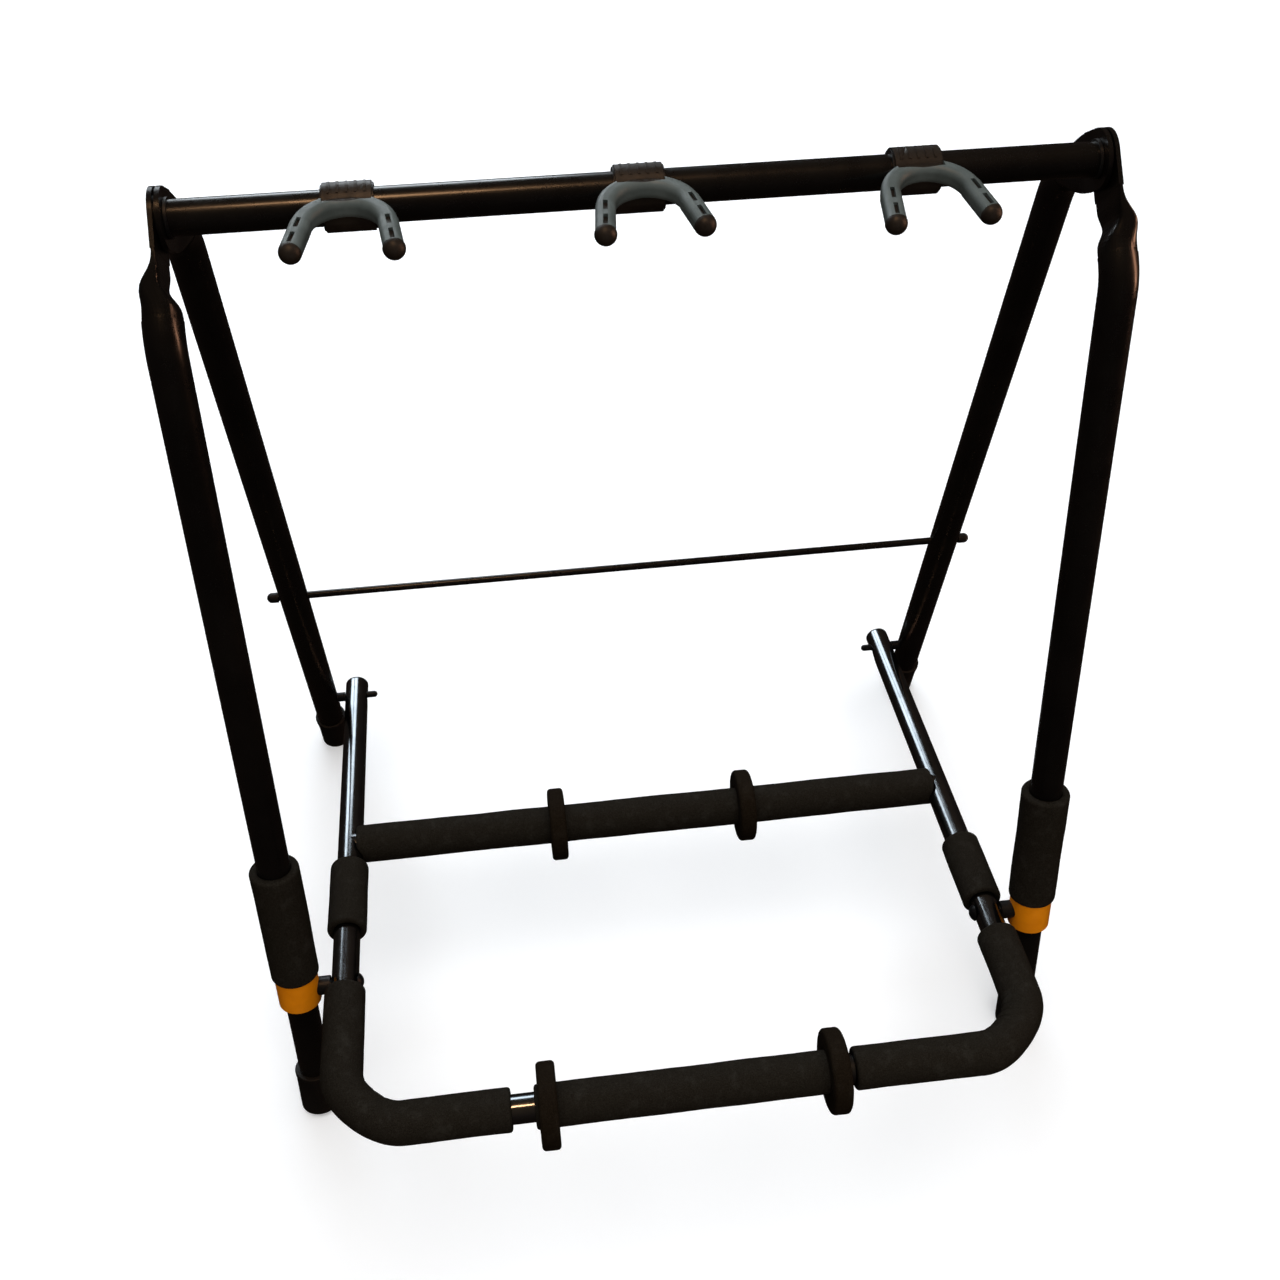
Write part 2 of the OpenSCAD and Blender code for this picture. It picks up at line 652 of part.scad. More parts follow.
// Soft sleeve over the fork, with two slots on top of each prong
module yoke_grip(i)
    color("#6a7370") on_yoke(i) difference() {
        horseshoe(i, fork_w, fork_h, fork_corner, prong_len - tip_lap - fit);
        horseshoe(i, core_w + 2 * fit, core_h + 2 * fit, core_corner, prong_len + 5);
        translate([-collar_len / 2 - fit, 0, 0]) x_rod(1, 0, collar_len + 2 * fit, collar_d / 2 + 0.7);
        translate([-collar_len / 2 - fit, -collar_d / 2 - fit, -20]) cube([collar_len + 2 * fit, 40, 40]);
        tube_room();
        on_fork(i) on_prongs() for (y = slot_along)
            translate([-slot_w / 2, y - slot_len / 2, core_h / 2 - 1]) cube([slot_w, slot_len, 6]);
    }

// ---- nodes ----

top_tube();
ridge_washers();
cross_rod();
base_tube();
cross_tube();
front_pad();
rear_pad();
for (side = [0, 1]) {
    end_plug(side);
    ridge_bolt(side);
    front_leg(side);
    front_foot(side);
    leg_grip(side);
    band(side);
    base_bolt(side);
    base_spacer(side);
    rear_leg(side);
    rear_foot(side);
    rod_cap(side);
    rest_pin(side);
    tube_plug(side);
    side_pad(side);
    corner_pad(side);
}
for (i = [0:3])
    divider(i);
for (i = [0:2]) {
    yoke_liner(i);
    yoke_fork(i);
    yoke_grip(i);
}
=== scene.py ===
"""Looks of the folding guitar rack: foam, finishes, floor, light and camera round its CAD model."""

import json
import math

import bpy
import numpy as np
from mathutils import Matrix, Vector, noise


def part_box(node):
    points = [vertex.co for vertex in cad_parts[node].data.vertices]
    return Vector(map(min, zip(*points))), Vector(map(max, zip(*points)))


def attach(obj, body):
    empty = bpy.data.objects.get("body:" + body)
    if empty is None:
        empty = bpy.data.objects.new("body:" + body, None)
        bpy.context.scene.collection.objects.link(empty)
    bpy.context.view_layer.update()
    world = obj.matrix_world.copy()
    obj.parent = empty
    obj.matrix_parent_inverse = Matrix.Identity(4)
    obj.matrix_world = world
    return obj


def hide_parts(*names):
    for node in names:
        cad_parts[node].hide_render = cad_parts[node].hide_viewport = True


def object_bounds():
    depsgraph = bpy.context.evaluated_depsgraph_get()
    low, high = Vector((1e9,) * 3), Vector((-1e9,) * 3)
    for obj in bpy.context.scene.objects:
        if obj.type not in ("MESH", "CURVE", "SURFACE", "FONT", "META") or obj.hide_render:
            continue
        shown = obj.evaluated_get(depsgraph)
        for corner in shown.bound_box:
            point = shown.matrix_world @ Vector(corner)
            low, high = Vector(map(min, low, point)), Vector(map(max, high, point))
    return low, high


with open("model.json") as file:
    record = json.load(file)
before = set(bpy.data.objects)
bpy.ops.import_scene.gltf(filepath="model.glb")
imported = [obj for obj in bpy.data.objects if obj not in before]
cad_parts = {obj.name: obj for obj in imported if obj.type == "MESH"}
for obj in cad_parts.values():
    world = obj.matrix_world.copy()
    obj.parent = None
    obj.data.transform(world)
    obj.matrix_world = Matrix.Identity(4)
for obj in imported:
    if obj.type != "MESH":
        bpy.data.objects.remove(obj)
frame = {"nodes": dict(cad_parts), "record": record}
cad_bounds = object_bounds()

MM = 0.001
X_AXIS = Vector((1, 0, 0))
Z_AXIS = Vector((0, 0, 1))

# A Mix node's colour sockets
MIX_A, MIX_B, MIX_RESULT = 6, 7, 2

# ---------------------------------------------------------------- frame facts


def node_points(node):
    """A CAD node's vertices as an array, in metres."""
    mesh = frame["nodes"][node].data
    co = np.zeros(len(mesh.vertices) * 3)
    mesh.vertices.foreach_get("co", co)
    return co.reshape(-1, 3)


def tube_line(node, axis=None):
    """(start, end, outer radius) of a straight sleeve, from its CAD solid. axis is its direction, if known.

    Otherwise the axis is the principal direction round which the outermost points are most alike in radius.
    It points to the back, or to the right where the sleeve lies along X.
    """
    co = node_points(node)
    mid = (co.min(0) + co.max(0)) / 2
    rows = np.linalg.svd(co - co.mean(0), full_matrices=False)[2] if axis is None else [np.array(axis)]
    best = None
    for row in rows:
        along = (co - mid) @ row
        radial = np.linalg.norm(co - mid - np.outer(along, row), axis=1)
        spread = np.ptp(np.sort(radial)[-len(radial) // 4:])
        if best is None or spread < best[0]:
            best = (spread, row, along, radial)
    _, row, along, radial = best
    if row[1] < 0 or abs(row[0]) > 0.9 and row[0] < 0:
        row, along = -row, -along
    axis = Vector(row)
    centre = Vector(mid)
    return centre + axis * along.min(), centre + axis * along.max(), float(radial.max())


# ---------------------------------------------------------------- camera

# The camera as it was solved from the rack's straight tubes: place relative to the top tube's Y, then
# angles in radians (yaw to the right, pitch upwards, roll clockwise), lens and sensor in mm, and shift
RIDGE_Y = sum(corner[1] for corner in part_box("top_tube")) / 2
CAMERA_PLACE = Vector((-0.1073, RIDGE_Y - 0.7959, 1.1849))
CAMERA_YAW = 0.1331
CAMERA_PITCH = -0.8455
CAMERA_ROLL = 0.0083
CAMERA_LENS = 39.92
CAMERA_SENSOR = 36
CAMERA_SHIFT = (-0.0002, -0.0020)


def make_camera():
    """The photograph's viewing angle: in front of the rack, above its top tube, looking steeply down."""
    flat = math.cos(CAMERA_PITCH)
    ahead = Vector((math.sin(CAMERA_YAW) * flat, math.cos(CAMERA_YAW) * flat, math.sin(CAMERA_PITCH)))
    right = Vector((math.cos(CAMERA_YAW), -math.sin(CAMERA_YAW), 0))
    up = right.cross(ahead)
    right_rolled = right * math.cos(CAMERA_ROLL) + up * math.sin(CAMERA_ROLL)
    up_rolled = up * math.cos(CAMERA_ROLL) - right * math.sin(CAMERA_ROLL)
    data = bpy.data.cameras.new("camera")
    data.sensor_width = CAMERA_SENSOR
    data.lens = CAMERA_LENS
    data.shift_x, data.shift_y = CAMERA_SHIFT
    camera = bpy.data.objects.new("camera", data)
    turn = Matrix((right_rolled, up_rolled, -ahead)).transposed().to_4x4()
    camera.matrix_world = Matrix.Translation(CAMERA_PLACE) @ turn
    bpy.context.scene.collection.objects.link(camera)
    bpy.context.scene.camera = camera


# ---------------------------------------------------------------- light and floor

WHITE = (1, 1, 1)
DAYLIGHT = (0.86, 0.94, 1.0)
BLUE_DAYLIGHT = (0.74, 0.87, 1.0)
WARM_WHITE = (1.0, 0.95, 0.9)
LAMP_ORANGE = (1.0, 0.56, 0.28)
WALL_RED = (1.0, 0.50, 0.30)

# Height over the floor of the point that the base frame's lights aim at
BASE_AIM = 0.1
# Half the distance between the window's two panes, whose gap draws a dark line down the plated tubes
PANE_OFFSET = 0.62


def area_light(name, aim, direction, distance, size, power, colour, glossy=True, diffuse=True):
    """A soft rectangular light at a direction and distance from aim, facing it.

    glossy and diffuse say whether it shows in reflections and whether it lights matte surfaces.
    """
    data = bpy.data.lights.new(name, "AREA")
    data.shape = "RECTANGLE"
    data.size, data.size_y = size
    data.energy = power
    data.color = colour
    light = bpy.data.objects.new(name, data)
    way = Vector(direction).normalized()
    light.location = aim + way * distance
    light.rotation_euler = way.to_track_quat("Z", "Y").to_euler()
    light.visible_glossy = glossy
    light.visible_diffuse = diffuse
    bpy.context.scene.collection.objects.link(light)


def make_lights():
    """Soft light from above and both sides, and a window, a lamp and a wall seen only in reflections."""
    low, high = (Vector(corner) for corner in cad_bounds)
    middle = (low + high) / 2
    base = Vector((middle.x, middle.y, low.z + BASE_AIM))
    area_light("overhead", middle, (0.05, 0.1, 1), 3.2, (4.5, 4.5), 120, WHITE, glossy=False)
    for side, name in ((-1, "left_pane"), (1, "right_pane")):
        aim = base + X_AXIS * PANE_OFFSET * side
        area_light(name, aim, (-0.27, 0.82, 0.42), 3.4, (1.0, 1.1), 19, DAYLIGHT, diffuse=False)
    area_light("front_fill", base, (0.1, -0.95, 0.3), 3.0, (2.6, 1.4), 26, WARM_WHITE, glossy=False)
    area_light("window_glow", base, (-0.1, 0.9, 0.5), 3.0, (2.4, 1.4), 38, BLUE_DAYLIGHT, glossy=False)
    area_light("ceiling_lamp", middle, (-0.12, -0.12, 0.99), 3.0, (0.7, 0.4), 15, LAMP_ORANGE,
               diffuse=False)
    area_light("warm_wall", middle, (0.97, -0.05, 0.25), 2.6, (0.5, 1.6), 18, WALL_RED, diffuse=False)
    bpy.context.scene.world = make_world()


def height_ramp(tree, height, stops):
    """A colour by height, from (place, colour) stops, where 0 is straight down and 1 straight up."""
    ramp = tree.nodes.new("ShaderNodeValToRGB")
    elements = ramp.color_ramp.elements
    for element, (place, colour) in zip(elements, (stops[0], stops[-1])):
        element.position, element.color = place, (*colour, 1)
    for place, colour in stops[1:-1]:
        elements.new(place).color = (*colour, 1)
    tree.links.new(height, ramp.inputs["Fac"])
    return ramp.outputs["Color"]


def make_world():
    """A dim warm room in reflections, and for matte surfaces a pale ceiling over a dark brown floor."""
    world = bpy.data.worlds.new("world")
    world.use_nodes = True
    tree = world.node_tree
    sky = tree.nodes["Background"]
    place, split, scale, ray, pick = (tree.nodes.new("ShaderNode" + kind) for kind in
                                      ("TexCoord", "SeparateXYZ", "MapRange", "LightPath", "Mix"))
    scale.inputs["From Min"].default_value = -1
    pick.data_type = "RGBA"
    height = scale.outputs["Result"]
    light = height_ramp(tree, height, [(0.35, (0.050, 0.026, 0.014)), (1.0, (0.28, 0.28, 0.285))])
    reflected = height_ramp(tree, height, [(0.0, (0.010, 0.006, 0.004)), (0.55, (0.026, 0.019, 0.016)),
                                           (1.0, (0.075, 0.052, 0.034))])
    for source, target in ((place.outputs["Generated"], split.inputs[0]),
                           (split.outputs["Z"], scale.inputs["Value"]),
                           (light, pick.inputs[MIX_A]), (reflected, pick.inputs[MIX_B]),
                           (ray.outputs["Is Glossy Ray"], pick.inputs["Factor"]),
                           (pick.outputs[MIX_RESULT], sky.inputs["Color"])):
        tree.links.new(source, target)
    return world


FLOOR_SIZE = 9.0
FLOOR_ALBEDO = 0.88
# The floor's own glow, which keeps it near white while the shadows stay faint
FLOOR_GLOW = 0.25


def make_floor():
    """A plain pale floor that catches shadows, and isn't seen in reflections and throws no light back."""
    mesh = bpy.data.meshes.new("floor")
    half = FLOOR_SIZE / 2
    corners = [(-half, -half, 0), (half, -half, 0), (half, half, 0), (-half, half, 0)]
    mesh.from_pydata(corners, [], [(0, 1, 2, 3)])
    floor = bpy.data.objects.new("floor", mesh)
    bpy.context.scene.collection.objects.link(floor)
    material = bpy.data.materials.new("floor")
    material.use_nodes = True
    shader = material.node_tree.nodes["Principled BSDF"]
    shader.inputs["Base Color"].default_value = (FLOOR_ALBEDO, FLOOR_ALBEDO, FLOOR_ALBEDO, 1)
    shader.inputs["Roughness"].default_value = 0.9
    shader.inputs["Specular IOR Level"].default_value = 0.1
    shader.inputs["Emission Color"].default_value = (1, 1, 1, 1)
    shader.inputs["Emission Strength"].default_value = FLOOR_GLOW
    mesh.materials.append(material)
    floor.visible_glossy = False
    floor.visible_diffuse = False


# ---------------------------------------------------------------- materials


class Shader:
    """A Principled material with helpers that add texture nodes in object space."""

    def __init__(self, name, **values):
        self.material = bpy.data.materials.new(name)
        self.material.use_nodes = True
        self.tree = self.material.node_tree
        self.principled = self.tree.nodes["Principled BSDF"]
        self.place = self.add("ShaderNodeTexCoord").outputs["Object"]
        for socket, value in values.items():
            self.principled.inputs[socket.replace("_", " ")].default_value = value

    def add(self, kind, **settings):
        node = self.tree.nodes.new(kind)
        for key, value in settings.items():
            setattr(node, key, value)
        return node

    def link(self, a, b):
        self.tree.links.new(a, b)

    def noise(self, scale, detail=3.0, roughness=0.55):
        """Noise with scale cells to the metre, mostly between 0.35 and 0.65."""
        texture = self.add("ShaderNodeTexNoise")
        texture.inputs["Scale"].default_value = scale
        texture.inputs["Detail"].default_value = detail
        texture.inputs["Roughness"].default_value = roughness
        self.link(self.place, texture.inputs["Vector"])
        return texture.outputs["Fac"]

    def cells(self, scale):
        """Distance to the nearest of scattered points, scale of them to the metre."""
        texture = self.add("ShaderNodeTexVoronoi")
        texture.inputs["Scale"].default_value = scale
        self.link(self.place, texture.inputs["Vector"])
        return texture.outputs["Distance"]

    def ramp(self, value, low, high, start=0.35, stop=0.65):
        """value between start and stop as a number between low and high."""
        node = self.add("ShaderNodeMapRange")
        for key, number in (("From Min", start), ("From Max", stop), ("To Min", low), ("To Max", high)):
            node.inputs[key].default_value = number
        self.link(value, node.inputs["Value"])
        return node.outputs["Result"]

    def mix(self, factor, first, second):
        """A colour between two colours or colour sockets."""
        node = self.add("ShaderNodeMix", data_type="RGBA")
        self.link(factor, node.inputs["Factor"])
        for socket, colour in ((node.inputs[MIX_A], first), (node.inputs[MIX_B], second)):
            if isinstance(colour, tuple):
                socket.default_value = (*colour, 1)
            else:
                self.link(colour, socket)
        return node.outputs[MIX_RESULT]

    def colour(self, socket):
        self.link(socket, self.principled.inputs["Base Color"])

    def rough(self, socket):
        self.link(socket, self.principled.inputs["Roughness"])

    def bump(self, *layers):
        """Stacks (height socket, distance in metres, strength) layers into the normal."""
        normal = None
        for height, distance, strength in layers:
            node = self.add("ShaderNodeBump")
            node.inputs["Distance"].default_value = distance
            node.inputs["Strength"].default_value = strength
            self.link(height, node.inputs["Height"])
            if normal is not None:
                self.link(normal, node.inputs["Normal"])
            normal = node.outputs["Normal"]
        self.link(normal, self.principled.inputs["Normal"])


def gloss_paint():
    """Gloss black powder coat: faint orange peel, smudges and a warm undertone."""
    s = Shader("gloss_black_paint", Coat_Weight=0.25, Coat_Roughness=0.12, IOR=1.45)
    smudge = s.noise(22, 4)
    s.colour(s.mix(s.ramp(smudge, 0, 1), (0.0016, 0.0012, 0.0010), (0.0034, 0.0026, 0.0021)))
    s.rough(s.ramp(s.noise(60, 5), 0.24, 0.33))
    s.bump((s.noise(700, 2), 0.0001, 0.05))
    return s.material


def black_chrome():
    """Bright black plating with faint fingermarks and a slightly uneven polish."""
    s = Shader("black_plating", Metallic=1.0, Coat_Weight=0.3, Coat_Roughness=0.04)
    marks = s.noise(35, 5)
    s.colour(s.mix(s.ramp(marks, 0, 1), (0.160, 0.175, 0.190), (0.215, 0.230, 0.245)))
    s.rough(s.ramp(s.noise(80, 4), 0.15, 0.21))
    s.bump((s.noise(900, 2), 0.0001, 0.06))
    return s.material


def foam(name, dark, light, dust):
    """Closed-cell foam: fine speckle, pores, and a little dust on the skin."""
    s = Shader(name, Roughness=0.90)
    s.principled.inputs["Specular IOR Level"].default_value = 0.06
    grain = s.noise(1500, 4, 0.7)
    blotch = s.noise(85, 6, 0.72)
    skin = s.mix(s.ramp(grain, 0, 1, 0.40, 0.68), dark, light)
    s.colour(s.mix(s.ramp(blotch, 0, 0.4, 0.52, 0.78), skin, dust))
    s.bump((s.noise(420, 4, 0.6), 0.0006, 0.35), (s.cells(1300), 0.0004, 0.45))
    return s.material


def plastic(name, dark, light, rough, grain=1100, depth=0.00012):
    """Moulded plastic or rubber: fine grain and a slow change of tone."""
    s = Shader(name)
    tone = s.noise(45, 4)
    s.colour(s.mix(s.ramp(tone, 0, 1), dark, light))
    s.rough(s.ramp(s.noise(130, 4), rough - 0.07, rough + 0.07))
    s.bump((s.noise(grain, 3), depth, 0.5))
    return s.material


def dark_steel():
    """Blackened steel fasteners with worn, brighter spots."""
    s = Shader("blackened_steel", Metallic=0.8)
    wear = s.noise(260, 5, 0.7)
    s.colour(s.mix(s.ramp(wear, 0, 1, 0.55, 0.75), (0.018, 0.018, 0.019), (0.07, 0.065, 0.06)))
    s.rough(s.ramp(wear, 0.28, 0.42))
    s.bump((s.noise(900, 3), 0.00015, 0.3))
    return s.material


# Base colours are linear RGB. Foam takes a dark, a light and a dust colour, plastic a dark and a light one
# and then its roughness, and some of them the scale and depth of their grain.
MATERIALS = {
    "leg_paint": gloss_paint(),
    "base_chrome": black_chrome(),
    "foam": foam(
        "sleeve_foam", (0.0070, 0.0052, 0.0034), (0.0210, 0.0180, 0.0135), (0.0380, 0.0350, 0.0290)),
    "divider_foam": foam(
        "divider_foam", (0.0050, 0.0030, 0.0016), (0.0150, 0.0105, 0.0062), (0.0240, 0.0190, 0.0140)),
    "band_plastic": plastic(
        "orange_band", (0.74, 0.215, 0.001), (0.86, 0.265, 0.003), 0.40),
    "rubber": plastic(
        "foot_rubber", (0.0020, 0.0016, 0.0014), (0.0050, 0.0042, 0.0036), 0.62, 600, 0.0003),
    "black_plastic": plastic(
        "black_nylon", (0.0030, 0.0030, 0.0030), (0.0060, 0.0058, 0.0056), 0.45),
    "yoke_black": plastic(
        "yoke_black", (0.0080, 0.0055, 0.0038), (0.0150, 0.0105, 0.0072), 0.48, 800, 0.0002),
    "grip_grey": plastic(
        "grip_grey", (0.056, 0.068, 0.063), (0.084, 0.099, 0.093), 0.50, 900, 0.0002),
    "black_steel": dark_steel(),
}


def finish_cad_nodes():
    """Gives each CAD node its slot's material."""
    for part in frame["record"]["subparts"]:
        node = frame["nodes"][part["node"]]
        node.data.materials.clear()
        node.data.materials.append(MATERIALS[part["material_slot"]])


# ---------------------------------------------------------------- foam

# Rounding of a sleeve's outer rim, and the bevel of its inner one
END_ROUND = 2.6 * MM
BORE_BEVEL = 0.8 * MM
# Gap between a sleeve's bore and the tube inside it, so that the two faces don't coincide
BORE_GAP = 0.25 * MM
# Points round a sleeve and round a divider
SIDES = 72
TURNS = 96
# Slow and quick swells of a skin, in swells per metre
SLOW_SCALE = 26
QUICK_SCALE = 140
# Height of a skin's slow swells and of its fine ones, on a sleeve and on a divider
SLOW_SWELL = 0.45 * MM
SLEEVE_GRAIN = 0.10 * MM
DIVIDER_GRAIN = 0.12 * MM


def lumps(point, seed, fine):
    """Small uneven swell of a foam skin at a point, in metres."""
    slow = noise.noise(point * SLOW_SCALE + Vector((seed, 0, 0)))
    quick = noise.noise(point * QUICK_SCALE + Vector((0, seed, 0)))
    return slow * SLOW_SWELL + quick * fine


def stations_along(length, step, fine_ends):
    """Distances along a sleeve: a step apart, and close together at the rounded ends."""
    ends = [fine_ends * (1 - math.cos(math.radians(a))) for a in range(0, 91, 15)]
    count = max(2, round((length - 2 * fine_ends) / step))
    middle = [fine_ends + (length - 2 * fine_ends) * i / count for i in range(1, count)]
    return ends + middle + [length - d for d in reversed(ends)]


def sleeve(name, path, length, r_out, r_in, seed, crease=None, step=2.5 * MM, clear=None):
    """A closed foam sleeve along path(s) -> (point, across, up), with s from 0 to length.

    crease(s, a) is how far the skin sinks at angle a, and clear(point) moves a point out of a neighbour.
    """
    rings = []

    def ring(s, radius, skin):
        point, across, up = path(s)
        row = []
        for i in range(SIDES):
            a = 2 * math.pi * i / SIDES
            out = across * math.cos(a) + up * math.sin(a)
            r = radius
            if skin:
                r += lumps(point + out * radius, seed, SLEEVE_GRAIN)
                if crease:
                    r -= crease(s, a)
            place = point + out * r
            row.append(clear(place) if clear else place)
        rings.append(row)

    for s in stations_along(length, step, END_ROUND):
        d = min(s, length - s, END_ROUND)
        ring(s, r_out - END_ROUND + math.sqrt(max(0, END_ROUND ** 2 - (END_ROUND - d) ** 2)), True)
    bore_rings = max(2, round(length / (4 * step)))
    ring(length, r_in + BORE_BEVEL, False)
    for i in range(bore_rings + 1):
        ring(length - BORE_BEVEL - (length - 2 * BORE_BEVEL) * i / bore_rings, r_in, False)
    ring(0, r_in + BORE_BEVEL, False)
    points = [p for row in rings for p in row]
    return new_piece(name, points, ring_faces(len(rings), SIDES))


def ring_faces(rings, sides, flip=False):
    """Quads between neighbouring rings of points, and from the last ring back to the first."""
    faces = []
    for k in range(rings):
        a, b = k * sides, (k + 1) % rings * sides
        for i in range(sides):
            j = (i + 1) % sides
            faces.append((a + i, b + i, b + j, a + j) if flip else (a + i, a + j, b + j, b + i))
    return faces


def new_piece(name, points, faces):
    """A smooth-shaded mesh object in the scene."""
    mesh = bpy.data.meshes.new(name)
    mesh.from_pydata(points, [], faces)
    mesh.polygons.foreach_set("use_smooth", [True] * len(mesh.polygons))
    mesh.update()
    piece = bpy.data.objects.new(name, mesh)
    bpy.context.scene.collection.objects.link(piece)
    return piece


def fit_foam(piece, node, body, slot):
    """Puts a finished foam piece in a CAD node's place."""
    piece.data.materials.append(MATERIALS[slot])
    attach(piece, body)
    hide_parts(node)


# Outer radii of the top tube and base tubes, and of the legs
TUBE_R = (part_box("top_tube")[1][2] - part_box("top_tube")[0][2]) / 2
LEG_R = 12.7 * MM


def straight_foam(node, body, r_bore, seed, axis=None, clear=None):
    """A foam sleeve in a straight CAD sleeve's place, round a tube of radius r_bore."""
    start, end, r_out = tube_line(node, axis)
    axis = (end - start).normalized()
    across = axis.cross(X_AXIS if abs(axis.x) < 0.9 else Z_AXIS).normalized()
    up = axis.cross(across)

    def path(s):
        return start + axis * s, across, up

    piece = sleeve(node + "_foam", path, (end - start).length, r_out, r_bore + BORE_GAP, seed, clear=clear)
    fit_foam(piece, node, body, "foam")


# The base frame's own directions, from the foam on its side tubes, and its origin, in the front bar's middle
LEFT_START, LEFT_END, _ = tube_line("left_side_pad")
BASE_BACK = (LEFT_END - LEFT_START).normalized()
BASE_UP = X_AXIS.cross(BASE_BACK).normalized()
FRONT_START, FRONT_END, PAD_R = tube_line("front_pad", X_AXIS)
FRONT_MIDDLE = (FRONT_START + FRONT_END) / 2
BASE_ORIGIN = Vector((0, FRONT_MIDDLE.y, FRONT_MIDDLE.z))
# A point on the right side tube's axis
SIDE_POINT = tube_line("right_side_pad")[0]


def off_side_tubes(point):
    """Keeps a point of the rear foam clear of the side tubes, moving it towards the middle."""
    height = (point - SIDE_POINT).dot(BASE_UP)
    reach = TUBE_R + BORE_GAP
    if abs(height) >= reach:
        return point
    limit = SIDE_POINT.x - math.sqrt(reach ** 2 - height ** 2)
    return Vector((max(-limit, min(limit, point.x)), point.y, point.z))


# How much thinner the foam is on the outside of a bend, at the bend's middle
STRETCH = 3.9 * MM
# How far the foam bunches up on its inside there
BUNCH = 2.4 * MM
# How far a crease wanders to and fro along the bend
WANDER = 1.6 * MM
# Distance between the rings of a bent sleeve, close enough for its creases
CREASE_STEP = 0.9 * MM
# Folds on the inside of each bend: place along the bend from 0 to 1, then width and depth in mm
LEFT_CREASES = [(0.22, 2.4, 0.4), (0.47, 1.8, 0.7), (0.70, 2.4, 0.4)]
RIGHT_CREASES = [(0.12, 1.5, 0.6), (0.24, 1.3, 0.9), (0.36, 1.4, 1.1), (0.50, 1.5, 2.6), (0.62, 1.3, 0.9),
                 (0.74, 1.5, 1.0), (0.88, 1.5, 0.5)]


def bend_radius(local, side_x, side):
    """Axis radius of the bend from a side tube to the front bar, from its pad's reach along the diagonal.

    local holds the pad's points from BASE_ORIGIN, and side_x is the side tube's distance from the middle.
    """
    reach = max((p.x * side - p.dot(BASE_BACK)) for p in local) / math.sqrt(2)
    return (side_x / math.sqrt(2) + PAD_R - reach) / (math.sqrt(2) - 1)


def corner_foam(node, side, seed, creases):
    """Foam round a front corner: a straight run on the side tube, the bend, and a run on the front bar."""
    local = [(p - BASE_ORIGIN) for p in map(Vector, node_points(node))]
    backs = [p.dot(BASE_BACK) for p in local]
    outs = [p.x * side for p in local]
    side_x = max(outs) - PAD_R
    bend_r = bend_radius(local, side_x, side)
    back_len = max(backs) - bend_r
    front_len = side_x - bend_r - min(outs)
    arc_len = bend_r * math.pi / 2
    out = X_AXIS * side
    centre = BASE_ORIGIN + out * (side_x - bend_r) + BASE_BACK * bend_r
    length = back_len + arc_len + front_len

    def path(s):
        """Point and directions at distance s from the pad's back end."""
        if s < back_len:
            return centre + out * bend_r + BASE_BACK * (back_len - s), out, BASE_UP * -side
        if s < back_len + arc_len:
            a = (s - back_len) / bend_r
            across = out * math.cos(a) - BASE_BACK * math.sin(a)
            return centre + across * bend_r, across, BASE_UP * -side
        return centre - BASE_BACK * bend_r - out * (s - back_len - arc_len), -BASE_BACK, BASE_UP * -side

    def crease(s, a):
        """How far the skin sinks: it is stretched outside the bend, and bunched up with folds inside it."""
        along_arc = (s - back_len) / arc_len
        depth = 0
        if 0 < along_arc < 1:
            share = STRETCH if math.cos(a) > 0 else BUNCH
            depth = share * math.cos(a) * math.sin(math.pi * along_arc) ** 2
        inside = max(0.0, -math.cos(a)) ** 1.5
        if inside < 0.02:
            return depth
        for place, width, deep in creases:
            wander = WANDER * math.sin(2 * a + place * 9)
            d = abs(s - back_len - place * arc_len + wander) / (width * MM)
            depth += deep * MM * math.exp(-d ** 1.3) * inside
        return depth

    piece = sleeve(node + "_foam", path, length, PAD_R, TUBE_R + BORE_GAP, seed, crease, step=CREASE_STEP)
    fit_foam(piece, node, "base_frame", "foam")


# Rounding of a divider's rim, bevel of its bore, and rings across each of its flat faces
RIM = 3.2 * MM
LIP = 0.7 * MM
FACE_STEPS = 7
# Share of a skin's swell that pushes the flat faces outwards
FACE_SWELL = 0.6


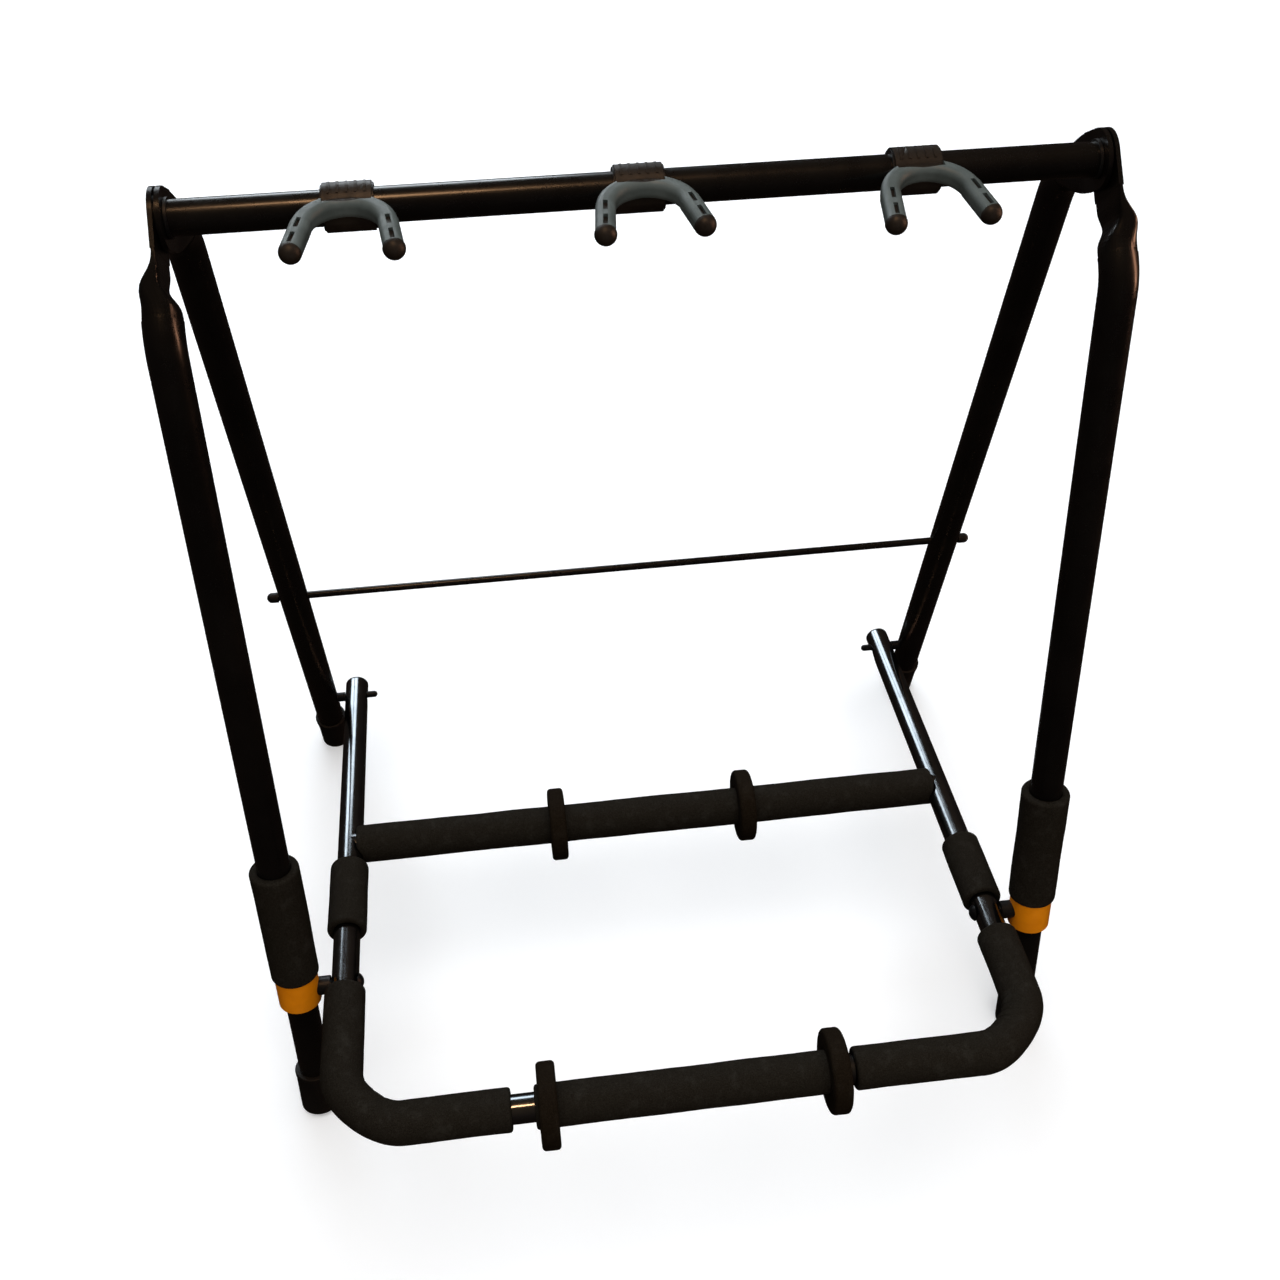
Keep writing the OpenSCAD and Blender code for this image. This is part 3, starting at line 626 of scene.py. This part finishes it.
def divider_outline(half_t, r_out, r_in):
    """A divider's section as (x, radius) points: rim, right face, bore and left face."""
    outline = []
    for sign, first_angle in ((-1, -90), (1, 0)):
        for degrees in range(first_angle, first_angle + 91, 15):
            a = math.radians(degrees)
            outline.append((sign * (half_t - RIM) + RIM * math.sin(a), r_out - RIM + RIM * math.cos(a)))
    face = [r_out - RIM + (r_in + LIP - r_out + RIM) * i / FACE_STEPS for i in range(1, FACE_STEPS)]
    outline += [(half_t, r) for r in face]
    outline += [(half_t, r_in + LIP), (half_t - LIP, r_in), (LIP - half_t, r_in), (-half_t, r_in + LIP)]
    outline += [(-half_t, r) for r in reversed(face)]
    return outline


def divider(node, seed):
    """A foam disc with soft rounded rims, slightly uneven, except in its bore."""
    co = node_points(node)
    low, high = co.min(0), co.max(0)
    centre = Vector((low + high) / 2)
    half_t = (high[0] - low[0]) / 2
    r_out = (high[1] - low[1]) / 2
    r_in = float(np.min(np.hypot(co[:, 1] - centre.y, co[:, 2] - centre.z)))
    outline = divider_outline(half_t, r_out, r_in)
    points = []
    for x, r in outline:
        for i in range(TURNS):
            a = 2 * math.pi * i / TURNS
            out = Vector((0, math.cos(a), math.sin(a)))
            here = centre + out * r + X_AXIS * x
            swell = 0 if r < r_in + LIP else lumps(here, seed, DIVIDER_GRAIN)
            points.append(here + (out * (r / r_out) + X_AXIS * (x / half_t) * FACE_SWELL) * swell)
    piece = new_piece(node + "_foam", points, ring_faces(len(outline), TURNS, flip=True))
    fit_foam(piece, node, node, "divider_foam")


def make_foam():
    """All foam pieces, each with a seed of its own for its skin."""
    straight_foam("left_leg_grip", "front_frame", LEG_R, 3.1)
    straight_foam("right_leg_grip", "front_frame", LEG_R, 7.7)
    straight_foam("left_side_pad", "base_frame", TUBE_R, 11.3)
    straight_foam("right_side_pad", "base_frame", TUBE_R, 15.9)
    straight_foam("front_pad", "base_frame", TUBE_R, 19.5, axis=X_AXIS)
    straight_foam("rear_pad", "base_frame", TUBE_R, 23.2, axis=X_AXIS, clear=off_side_tubes)
    corner_foam("left_corner_pad", -1, 31.4, LEFT_CREASES)
    corner_foam("right_corner_pad", 1, 37.8, RIGHT_CREASES)
    for index, name in enumerate(("front_left", "front_right", "rear_left", "rear_right")):
        divider(name + "_divider", 41.0 + 5 * index)


# ---------------------------------------------------------------- build

make_camera()
make_lights()
make_floor()
finish_cad_nodes()
make_foam()
bpy.context.scene.view_settings.view_transform = "Standard"

bpy.context.view_layer.update()
